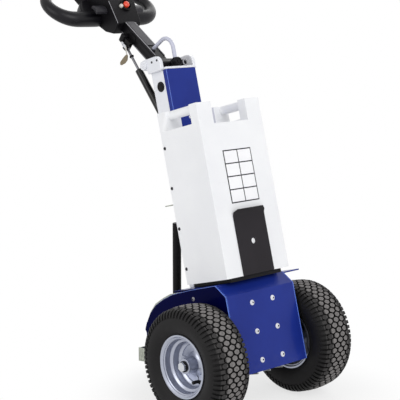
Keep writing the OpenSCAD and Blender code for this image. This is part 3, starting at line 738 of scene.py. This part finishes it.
caseSpots = [(screws["caseBack"], z) for z in screws["caseHeights"]]
caseScrews = sideScrewMesh("battery_case", caseSpots, screws["caseSink"], screws["caseSize"])
piece(caseScrews, "caseScrews", "chassis", ["lid", "black"], onChassis)
cheekScrews = sideScrewMesh("cheek_left", [screws["cheek"]], 0, screws["cheekSize"])
# the head is pale grey as a painted highlight on a blue screw, the socket painted shade
piece(cheekScrews, "cheekScrews", "chassis", ["lip", "navy"], onChassis)
print("screws made")

# Column fittings and hinge
hinge = {"thick": 12, "front": 84, "low": 836, "high": 880, "back": 147, "nose": 22, "eye": 16, "y": 155, "z": 864,
         "rounding": 2.2, "pins": ((120, 866), (96, 867)), "shaft": 8, "capLong": 8,
         "pin": ((0, 0), (0, 3.4), (0.5, 3.4), (0.7, 3), (0.7, 1.6), (0.2, 1.4), (0.2, 0)),
         "cap": ((0.1, 0), (0.1, 13.4), (3, 13.4), (3.4, 12.4), (4, 12.4), (4.4, 13.2), (6, 13.2), (7, 12.2), (7, 9.6),
                 (6.2, 9), (6.2, 6.2), (7.9, 5.4), (7.9, 0))}


def arc(middle, radius, first, last, steps=8):  # degrees from +Y towards +Z
    turns = [math.radians(first + (last - first) * k / steps) for k in range(steps + 1)]
    return [(middle[0] + radius * math.cos(t), middle[1] + radius * math.sin(t)) for t in turns]


def hingeBlockMesh():
    inner = localBox("column", onChassis)[1].x
    nose = (hinge["front"] + hinge["nose"], hinge["high"] - hinge["nose"])
    outline = [(hinge["back"], hinge["low"]), (hinge["front"] + 3, hinge["low"]), (hinge["front"], hinge["low"] + 3)]
    outline += arc(nose, hinge["nose"], 180, 90) + arc((hinge["y"], hinge["z"]), hinge["eye"], 90, -90, 12)
    outline += [(hinge["back"], hinge["z"] - hinge["eye"])]
    return platePair(outline, inner, inner + hinge["thick"], hinge["rounding"])


piece(hingeBlockMesh(), "hingeBlocks", "chassis", "white", onChassis, ["hinge_blocks"])
socketPins = lathePair(hinge["pin"], "hinge_blocks", hinge["pins"], 20)
piece(socketPins, "hingePins", "chassis", "plastic", onChassis)


@shape
def shaftMesh(bm):  # the hinge shaft with its ribbed white end caps
    end = localBox("hinge_shaft", onChassis)[1].x
    rod(bm, (-end + 2, hinge["y"], hinge["z"]), (end - 2, hinge["y"], hinge["z"]), hinge["shaft"], 0.6)
    shaft = set(bm.faces)
    for side in (1, -1):
        turned(bm, hinge["cap"], onSide(side, end - hinge["capLong"], hinge["y"], hinge["z"]), 48)
    paintGroups(bm, shaft)


piece(shaftMesh(), "hingeShaft", "chassis", ["steel", "white"], onChassis, ["hinge_shaft"])

plug = {"spots": ((112, 791),),
        "dome": ((0, 0), (0, 15), (1.6, 15), (3, 13.4), (2.4, 11.6), (2.4, 9.6), (3.6, 8.4), (4, 0))}
columnPlugs = lathePair(plug["dome"], "column", plug["spots"], 48)
piece(columnPlugs, "columnPlugs", "chassis", "plastic", onChassis, ["column_plugs"])

gland = {"y": 93, "nutHigh": 14.5, "nutRadius": 13, "front": 78, "back": 105, "neck": 9,
         "clip": (24, 79, 8), "clipWire": 2}


@shape
def glandMesh(bm):  # an elbow: a ribbed nut that faces forward and a neck for the conduit
    low, high = localBox("cable_gland", onChassis)
    nutMiddle = Matrix.Translation((0, gland["back"], low.z + gland["nutHigh"]))
    forward = nutMiddle @ Matrix.Rotation(math.radians(-90), 4, "Z")
    long, radius = gland["back"] - gland["front"], gland["nutRadius"] - 0.1
    turned(bm, [(0, 0), (0, radius - 2), (2, radius), (8, radius), (9, radius - 1.6), (12, radius - 1.6), (13, radius),
                (long - 2, radius), (long, radius - 2), (long, radius - 4), (long - 1.5, radius - 4.6),
                (long - 1.5, 5), (long, 4.4), (long, 0)], forward, 48)
    rod(bm, (0, gland["y"], low.z + 8), (0, gland["y"], high.z - 3), gland["neck"] - 0.1, 0.6)
    rod(bm, (0, gland["y"], high.z - 3), (0, gland["y"], high.z), gland["neck"] - 1.4, 0.6)


piece(glandMesh(), "cableGland", "chassis", "plastic", onChassis, ["cable_gland"])


@shape
def clipMesh(bm):  # a small cable ring on the column's top plate
    (x, y, radius), wire = gland["clip"], gland["clipWire"]
    base = localBox("column", onChassis)[1].z
    stations = []
    for k in range(24):
        turn = math.tau * k / 24
        spot = (x + radius * math.cos(turn), y, base + radius + wire + radius * math.sin(turn))
        stations.append((spot, wire, wire, (-math.sin(turn), 0, math.cos(turn))))
    swept(bm, stations, 10, True)
    block(bm, (x - 5, y - 4, base), (x + 5, y + 4, base + 2.4), 0.6, 2)


piece(clipMesh(), "cableClip", "chassis", "lip", onChassis)

conduit = {"radius": 6, "bendRadius": 34, "straight": 30, "over": 20, "reach": 50,
           "bendsFrom": (0, 93, 884), "bendsTo": (0, 176, 920)}


@shape
def conduitMesh(bm):  # up out of the gland, over in an arc and straight into the tiller
    start = localBox("cable_gland", onChassis)[1].z
    centre, level = gland["y"] + conduit["bendRadius"], start + conduit["straight"]
    stations = [((0, gland["y"], start - 2 + k * 8), (0, 0, 1)) for k in range(4)]
    for degrees in range(90, -conduit["over"] - 1, -5):
        turn = math.radians(degrees)
        spot = (0, centre - conduit["bendRadius"] * math.sin(turn), level + conduit["bendRadius"] * math.cos(turn))
        stations.append((spot, (0, math.cos(turn), math.sin(turn))))
    spot, along = Vector(stations[-1][0]), Vector(stations[-1][1])
    stations += [(spot + along * k * conduit["reach"] / 6, along) for k in range(1, 7)]
    swept(bm, [(s, conduit["radius"], conduit["radius"], d) for s, d in stations], 20)


tube = piece(conduitMesh(), "conduitTube", None, "conduit", onChassis, ["conduit"])
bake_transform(tube)
print("column fittings made")

# Tiller with head, grips and controls
tiller = {"half": 17.5, "end": 196, "hubHalf": 38, "hubRadius": 18, "lidFrom": 74, "ribs": (-7, 8), "ribHigh": 3.2,
          "lip": 3, "edge": 1.6}


@shape
def tillerMesh(bm):  # a ribbed profile with a grey strip on top and pale strips along its edges as a painted highlight
    half, lip, edge = tiller["half"], tiller["lip"], tiller["edge"]
    rod(bm, (-tiller["hubHalf"], 0, 0), (tiller["hubHalf"], 0, 0), tiller["hubRadius"], 1.5, 48)
    block(bm, (-half, 0, -half), (half, tiller["end"], half - 1.5), 1.6)
    for side in (1, -1):
        block(bm, (side * half - lip, 20, half - lip), (side * half, tiller["end"], half), 0.8, 2)
        for w in tiller["ribs"]:
            block(bm, (side * half - 1, 22, w - tiller["ribHigh"]), (side * half + 0.9, tiller["end"] - 3, w), 0.5, 2)
    dark = set(bm.faces)
    block(bm, (-half + 3.4, tiller["lidFrom"], half - lip), (half - 3.4, tiller["end"] - 2, half + 0.8), 0.8, 2)
    strip = set(bm.faces) - dark
    # pale strips along the edges: painted highlight
    for side in (1, -1):
        for w in (-half, half):
            block(bm, (side * half - edge, 24, w - edge), (side * half + 1.2, tiller["end"] - 5, w + 0.9), 0.4, 1)
    paintGroups(bm, dark, strip)


piece(tillerMesh(), "tillerTube", "tiller", ["profile", "lid", "lip"], onTiller, ["tiller_tube"])

head = {"front": 190, "face": 16, "slope": 72, "top": 50, "button": (8, 246), "half": 46, "flare": 0.15,
        "flareFrom": 230, "flareTo": 360, "backWide": 1.42, "panelEdge": 9, "panelDeep": 1.5, "rounding": 3.5,
        "outline": ((192, -25), (192, 14.5), (262, 48.5), (322, 48.5), (398, 1), (418, -18), (418, -39), (300, -49),
                    (228, -43)), "paintedHighlightTo": 266,
        "web": ((40, 262), (84, 262), (110, 272), (106, 298), (96, 322), (80, 346), (40, 360)),
        "webLow": -47, "webHigh": -9, "webRounding": 7,
        "collar": ((-2, 13), (-2, 19), (3.4, 19), (4.6, 17.6), (4.6, 15.4), (0, 14.2))}
headSlope = math.atan((head["top"] - head["face"]) / head["slope"])
buttonRise = head["face"] + (head["button"][1] - head["front"]) * math.tan(headSlope)
onButton = onTiller @ Matrix.Translation((*head["button"], buttonRise)) @ Matrix.Rotation(headSlope, 4, "X")


@shape
def headMesh(bm):
    plate(bm, head["outline"], -head["half"], head["half"])
    for f in [f for f in bm.faces if abs(f.normal.x) > 0.9]:
        bmesh.ops.inset_region(bm, faces=[f], thickness=head["panelEdge"], depth=-head["panelDeep"])
    for f in soften(bm, bm.verts, head["rounding"], 3):  # the corner beside the sloping face, pale as a painted highlight
        corner = 0.5 < abs(f.normal.x) < 0.86 and f.normal.z > 0.3
        f.material_index = int(corner and f.calc_center_median().y < head["paintedHighlightTo"])
    for v in bm.verts:  # wider towards the back
        past = max(v.co.y - head["flareFrom"], 0) / head["half"]
        v.co.x *= 1 + head["flare"] * past if v.co.y < head["flareTo"] else head["backWide"]
    flat = Matrix(((0, 1, 0, 0), (0, 0, 1, 0), (1, 0, 0, 0), (0, 0, 0, 1)))  # what is drawn along X lies level
    for side in (1, -1):  # webs that carry the grip loops
        web = bmesh.new()
        plate(web, [(side * x, v) for x, v in head["web"]], head["webLow"], head["webHigh"], head["webRounding"], 3)
        web.transform(flat)
        joined(bm, web)
    turned(bm, head["collar"], onTiller.inverted() @ onButton @ upright, 48)


piece(headMesh(), "tillerHead", "tiller", ["plastic", "lip"], onTiller, ["tiller_head"])

grip = {"front": 278, "back": 412, "across": 126, "thick": 25, "thin": 16.6, "level": -30,
        "frontSteps": (34, 58, 82, 106), "backSteps": (100, 70, 40), "bendSteps": 16}


@shape
def gripMesh(bm):  # one loop each side, thick in front and thinner round the bend
    centre, radius = (grip["front"] + grip["back"]) / 2, (grip["back"] - grip["front"]) / 2
    steps = grip["bendSteps"]
    path = [(x, grip["front"], 1, 0) for x in grip["frontSteps"]]
    for k in range(steps + 1):
        turn = math.radians(-90 + 180 * k / steps)
        out, back = math.cos(turn), math.sin(turn)
        path.append((grip["across"] + radius * out, centre + radius * back, -back, out))
    path += [(x, grip["back"], -1, 0) for x in grip["backSteps"]]
    for side in (1, -1):
        stations = []
        for k, (x, v, alongX, alongV) in enumerate(path):
            share = min(k / (steps + 1), 1)
            size = grip["thick"] + (grip["thin"] - grip["thick"]) * share * share * (3 - 2 * share)
            stations.append(((side * x, v, grip["level"]), size, size, (side * alongX, alongV, 0)))
        swept(bm, stations, 28)


loops = piece(gripMesh(), "gripLoops", "tiller", "grip", onTiller, ["grips"])
smooth = loops.modifiers.new("smooth", "SUBSURF")
smooth.levels = smooth.render_levels = 1

button = {"cap": ((-7.9, 0), (-7.9, 8), (-1, 8), (0, 9.8), (5, 10.4), (8, 9), (9.6, 5.6), (9.8, 0)),
          "pilot": ((-3, 0), (-3, 6), (3, 6), (5.4, 5), (6.8, 3), (7.2, 0)), "pilotAt": (-19, -3, 0)}
piece(lathe(button["cap"], upright, 48), "stopButton", "tiller", "red", onButton, ["stop_button"])
pilot = lathe(button["pilot"], Matrix.Translation(button["pilotAt"]) @ upright, 32)  # a pale round key beside it
piece(pilot, "pilotKey", "tiller", "strap", onButton)

lever = {"from": 49, "to": 92, "rounding": 2.4,
         "outline": ((247, 9), (247, 17), (253, 22.5), (264, 24.5), (276, 21), (279, 12), (264, 13))}
levers = platePair(lever["outline"], lever["from"], lever["to"], lever["rounding"])
piece(levers, "thumbLevers", "tiller", "lever", onTiller, ["thumb_levers"])

key = {"housing": ((-39, 153, -33.5), (-17.6, 172, -6.5), 5),  # corners and rounding
       "barrel": ((-37, 154, -29), (-37, 146, -29), 4.6),  # ends and radius
       "blade": ((-38.4, 131, -36), (-36.4, 149, -26), 0.8),
       "strap": ((134, -33), (130, -28), (111, -46), (114, -49)), "strapSides": (-38.2, -36.8),
       "tag": ((114, -44), (108, -47), (103, -58), (106, -72), (117, -88), (123, -90), (127, -84), (124, -68),
               (119, -52)), "tagSides": (-38.6, -36.2)}


@shape
def keySwitchMesh(bm):
    block(bm, *key["housing"], 4)
    dark = set(bm.faces)
    rod(bm, *key["barrel"], 1, 24)
    block(bm, *key["blade"], 2)
    paintGroups(bm, dark)


piece(keySwitchMesh(), "keySwitch", "tiller", ["plastic", "steel"], onTiller, ["key_switch"])


@shape
def keyTagMesh(bm):  # a pale loop and a leaf-shaped tag on the key
    plate(bm, key["strap"], *key["strapSides"], 0.3, 1)
    strap = set(bm.faces)
    plate(bm, key["tag"], *key["tagSides"], 0.6, 2)
    paintGroups(bm, strap)


piece(keyTagMesh(), "keyTag", "tiller", ["strap", "bronze"], onTiller)

# A lock nut part way up the gas rod
rodNut = {"sides": 6, "profile": ((226, 4.1), (226, 6.6), (226.6, 7.2), (230.4, 7.2), (231, 6.6), (231, 4.1))}
lockNut = lathe(rodNut["profile"], upright, rodNut["sides"])
piece(lockNut, "rodNut", "gas_rod", "black", onGas)
print("tiller made")

# Drive unit under the chassis and the rear wheel
motor = {"fins": 9, "finThick": 6, "bareEnd": 30, "y": 70, "z": 115, "finRadius": 53.6, "coreRadius": 48,
         "foot": ((-38, 32, 60.4), (38, 62, 80), 2)}


@shape
def motorMesh(bm):
    end = localBox("motor", onChassis)[1].x
    core = motor["coreRadius"]
    profile = [(-end, 0), (-end, core - 4), (-end + 4, core), (-end + 26, core)]
    for k in range(motor["fins"]):
        x = -end + motor["bareEnd"] + k * (2 * end - 2 * motor["bareEnd"]) / motor["fins"]
        past = x + motor["finThick"]
        profile += [(x, core + 1), (x, motor["finRadius"]), (past, motor["finRadius"]), (past, core + 1)]
    profile += [(end - 26, core), (end - 4, core), (end, core - 4), (end, 0)]
    turned(bm, profile, Matrix.Translation((0, motor["y"], motor["z"])), 64)
    block(bm, *motor["foot"])


piece(motorMesh(), "driveMotor", "chassis", "black", onChassis, ["motor"])

gearbox = {"ribThick": 6, "ribHigh": 4, "rounding": 7}


@shape
def gearboxMesh(bm):  # a cast box with three ribs round it
    low, high = localBox("gearbox", onChassis)
    deep, thick = gearbox["ribHigh"], gearbox["ribThick"]
    block(bm, low + Vector((deep, deep, deep)), high - Vector((deep, deep, 0.2)), gearbox["rounding"], 3)
    for x in (low.x, -thick / 2, high.x - thick):
        block(bm, (x, low.y, low.z), (x + thick, high.y, high.z - 1), 1.5, 2)


piece(gearboxMesh(), "gearboxCast", "chassis", "alloy", onChassis, ["gearbox"])

rearWheel = {"bore": 6.1, "boss": 15, "bossProud": 4, "tread": 18, "shoulder": (6, 7), "steps": 72}


@shape
def rearWheelMesh(bm):  # a blue tread on a dished silver wheel, the same on both sides
    high = localBox("caster_wheel", onRearHub)[1]
    proud, (inwards, down) = rearWheel["bossProud"], rearWheel["shoulder"]
    half, radius = high.x - proud, high.z
    tread = [(half - inwards, radius), (half, radius - down), (half, radius - rearWheel["tread"])]
    disc = [(half - 1, radius - 17.6), (half - 7, radius - 22), (half - 5, 18), (half + proud, rearWheel["boss"]),
            (half + proud, rearWheel["bore"])]
    turned(bm, mirrored(tread) + tread, steps=rearWheel["steps"])
    blue = set(bm.faces)
    turned(bm, mirrored(disc) + disc, steps=rearWheel["steps"])
    paintGroups(bm, blue)


piece(rearWheelMesh(), "rearWheel", "caster_roll", ["rearTyre", "silver"], onRearHub, ["caster_wheel"])
print("drive unit and rear wheel made")

# Studio: pale floor, soft light, camera at the photograph's place
studio = {"camera": (-2.42965, -2.45863, 1.20475), "turn": (90 - 9.97, 0, -42.31), "lens": 112.47, "sensor": 36,
          "lamps": {"key": ((-0.5, -3.8, 3.0), 2.6, 85), "fill": ((-3.6, 0.2, 2.0), 2.4, 40),
                    "back": ((2.6, 1.6, 2.6), 2.2, 24)}, "aim": (0, -0.1, 0.5),  # place, size and power of a lamp
          "sky": 0.55, "floorHalf": 90, "shadeFrom": 0.3, "shadeTo": 0.56, "nearGlow": 0.71}
camera = placed("camera", bpy.data.cameras.new("camera"))
camera.data.lens = studio["lens"]
camera.data.sensor_width = studio["sensor"]
camera.data.clip_end = 400
camera.location = Vector(studio["camera"]) + Vector((0, axle.y, 0))
camera.rotation_euler = [math.radians(a) for a in studio["turn"]]
bpy.context.scene.camera = camera

for name, (spot, size, power) in studio["lamps"].items():
    lamp = placed(name, bpy.data.lights.new(name, "AREA"))
    lamp.data.size = size
    lamp.data.energy = power
    lamp.location = Vector(spot)
    lamp.rotation_euler = (Vector(studio["aim"]) - lamp.location).to_track_quat("-Z", "Y").to_euler()


def seenRays(tree):  # 1 for the camera and for what metal and glass show, 0 for light that falls on the object
    kinds = ("Camera", "Glossy", "Transmission")
    direct, glossy, through = [tree.node("ShaderNodeLightPath", out="Is " + kind + " Ray") for kind in kinds]
    return (direct + glossy + through).between(0, 1)


bm = bmesh.new()
bmesh.ops.create_grid(bm, x_segments=2, y_segments=2, size=studio["floorHalf"])
floor = placed("floor", meshFrom(bm, "floor"))
pale = Finish("floor", baseColor=(0.9, 0.9, 0.9, 1), roughness=0.9, specularIorLevel=0.1)
glow = pale.node("ShaderNodeEmission", None, {"Color": (1, 1, 1, 1), "Strength": 1.0})
shade = pale.away((0, -axle.y, 0)).between(studio["shadeFrom"], studio["shadeTo"])  # less glow near the wheels
share = seenRays(pale) * (shade * (1 - studio["nearGlow"]) + studio["nearGlow"])
mixed = pale.node("ShaderNodeMixShader", None, {0: share, 1: Wire(pale, pale.shader.outputs[0]), 2: glow})
pale.feed(pale.tree.nodes["Material Output"].inputs["Surface"], mixed)
floor.data.materials.append(pale.material)

world = bpy.data.worlds.new("studio")
bpy.context.scene.world = world
world.use_nodes = True
sky = Tree(world.node_tree)
backdrop = world.node_tree.nodes["Background"]
backdrop.inputs["Color"].default_value = (1, 1, 1, 1)
sky.feed(backdrop.inputs["Strength"], seenRays(sky) * (1 - studio["sky"]) + studio["sky"])
bpy.context.scene.view_settings.view_transform = "Standard"
print("studio set")

bpy.context.view_layer.update()
